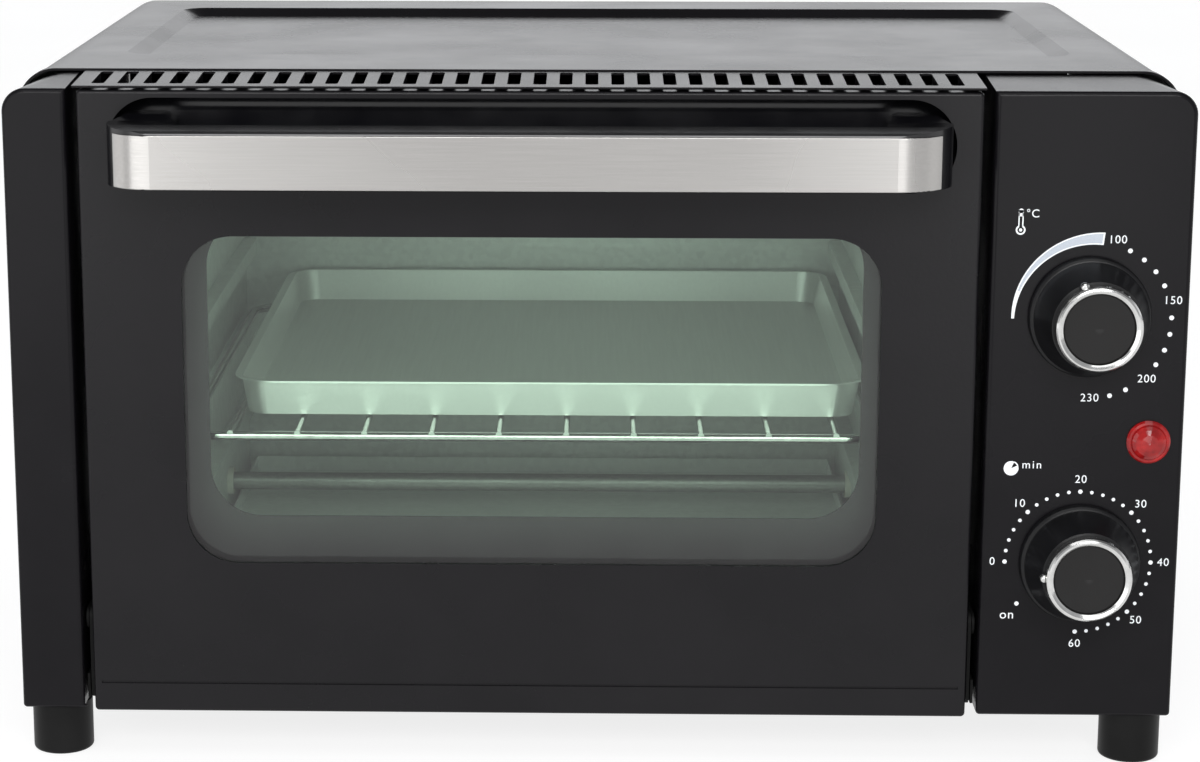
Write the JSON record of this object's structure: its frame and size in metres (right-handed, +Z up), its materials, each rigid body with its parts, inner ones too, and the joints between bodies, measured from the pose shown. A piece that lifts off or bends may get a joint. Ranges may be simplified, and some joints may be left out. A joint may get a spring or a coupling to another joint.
{
  "type": "toaster oven",
  "caption": "Compact bench-top oven with a drop-down glass door, bow handle, two rotary controls, wire rack, baking tray and crumb tray.",
  "frame": {"origin": "on the surface it stands on, under the middle of the whole object including the handle", "axes": "+X to the viewer's right seen from the front, +Y to the back, +Z up; the door faces -Y"},
  "size_m": [0.365, 0.28, 0.2182],
  "materials": {
    "housing_paint": "semi-gloss black stove enamel, fine orange peel",
    "door_paint": "semi-gloss black stove enamel, fine orange peel",
    "door_back": "black enamel",
    "window_glass": "clear toughened glass with a faint green tint",
    "handle_plastic": "glossy black",
    "handle_steel": "brushed along its length",
    "knob_plastic": "fine satin moulding",
    "knob_chrome": "bright plated",
    "knob_cap": "matt textured",
    "lens_red": "clear red moulding",
    "cavity_steel": "aluminised steel, dull spangle",
    "tray_metal": "satin",
    "crumb_metal": "dull",
    "rack_wire": "nickel-chrome plated wire",
    "heater_sheath": "heat-darkened sheath",
    "ceramic": "unglazed",
    "hinge_steel": "black phosphated steel, lightly oiled",
    "zinc": "bright zinc plate",
    "control_body": "phenolic moulding",
    "terminal_plastic": "natural polyamide",
    "gland_plastic": "black polyamide",
    "foot_plastic": "black moulding"
  },
  "bodies": {
    "housing": {"outer_cover": "housing_paint", "rear_panel": "housing_paint", "base_plate": "housing_paint", "left_pillar": "housing_paint", "control_panel": "housing_paint", "vent_lintel": "housing_paint", "front_frame": "housing_paint", "indicator_lens": "lens_red", "cavity_side_left": "cavity_steel", "cavity_side_right": "cavity_steel", "cavity_back": "cavity_steel", "cavity_roof": "cavity_steel", "cavity_floor": "cavity_steel", "upper_heaters": "heater_sheath", "lower_heaters": "heater_sheath", "heater_insulators": "ceramic", "hinge_bracket_left": "hinge_steel", "hinge_bracket_right": "hinge_steel", "bracket_screws": "zinc", "hinge_springs": "zinc", "spring_anchors": "zinc", "control_screws": "zinc", "foot_screws": "zinc", "rear_screws": "zinc", "timer_bell": "zinc", "thermostat_body": "control_body", "timer_body": "control_body", "indicator_lamp": "control_body", "terminal_block": "terminal_plastic", "cord_gland": "gland_plastic", "foot_front_left": "foot_plastic", "foot_front_right": "foot_plastic", "foot_rear_left": "foot_plastic", "foot_rear_right": "foot_plastic"},
    "door": {"door_skin": "door_paint", "door_inner_frame": "door_back", "door_glass": "window_glass", "glass_clips": "zinc", "handle": "handle_plastic", "handle_screws": "zinc", "handle_strip": "handle_steel", "hinge_straps": "hinge_steel", "hinge_pins": "hinge_steel", "link_rivets": "hinge_steel"},
    "link_left": {"hinge_link_left": "hinge_steel"},
    "link_right": {"hinge_link_right": "hinge_steel"},
    "temperature_control": {"temperature_knob": "knob_plastic", "temperature_knob_ring": "knob_chrome", "temperature_knob_cap": "knob_cap", "temperature_shaft": "zinc"},
    "timer_control": {"timer_knob": "knob_plastic", "timer_knob_ring": "knob_chrome", "timer_knob_cap": "knob_cap", "timer_shaft": "zinc"},
    "rack": {"wire_rack": "rack_wire"},
    "tray": {"baking_tray": "tray_metal"},
    "crumb": {"crumb_tray": "crumb_metal"}
  },
  "joints": [
    {"name": "door_hinge", "type": "hinge", "parent": "housing", "child": "door", "pos_m": [-0.02085, -0.104, 0.022], "axis": [1, 0, 0], "range_deg": [0, 84], "stiffness_Nm_per_rad": 0.3, "springref_deg": -34.38},
    {"name": "link_pivot_left", "type": "hinge", "parent": "door", "child": "link_left", "pos_m": [-0.1618, -0.104, 0.0445], "axis": [1, 0, 0], "range_deg": [-60.5, 0.5]},
    {"name": "link_pivot_right", "type": "hinge", "parent": "door", "child": "link_right", "pos_m": [0.1201, -0.104, 0.0445], "axis": [1, 0, 0], "range_deg": [-60.5, 0.5]},
    {"name": "temperature_turn", "type": "hinge", "parent": "housing", "child": "temperature_control", "pos_m": [0.1518, -0.113, 0.1459], "axis": [0, 1, 0], "range_deg": [-70, 200]},
    {"name": "timer_turn", "type": "hinge", "parent": "housing", "child": "timer_control", "pos_m": [0.1518, -0.113, 0.0673], "axis": [0, 1, 0], "range_deg": [-36, 270]},
    {"name": "rack_slide", "type": "slide", "parent": "housing", "child": "rack", "axis": [0, -1, 0], "range_m": [0, 0.0055]},
    {"name": "tray_slide", "type": "slide", "parent": "rack", "child": "tray", "axis": [0, -1, 0], "range_m": [0, 0.015]},
    {"name": "crumb_slide", "type": "slide", "parent": "housing", "child": "crumb", "axis": [0, -1, 0], "range_m": [0, 0.004]}
  ],
  "couplings": [
    {"joint": "link_pivot_left", "follows": "door_hinge", "ratio": -0.714},
    {"joint": "link_pivot_right", "follows": "door_hinge", "ratio": -0.714}
  ]
}
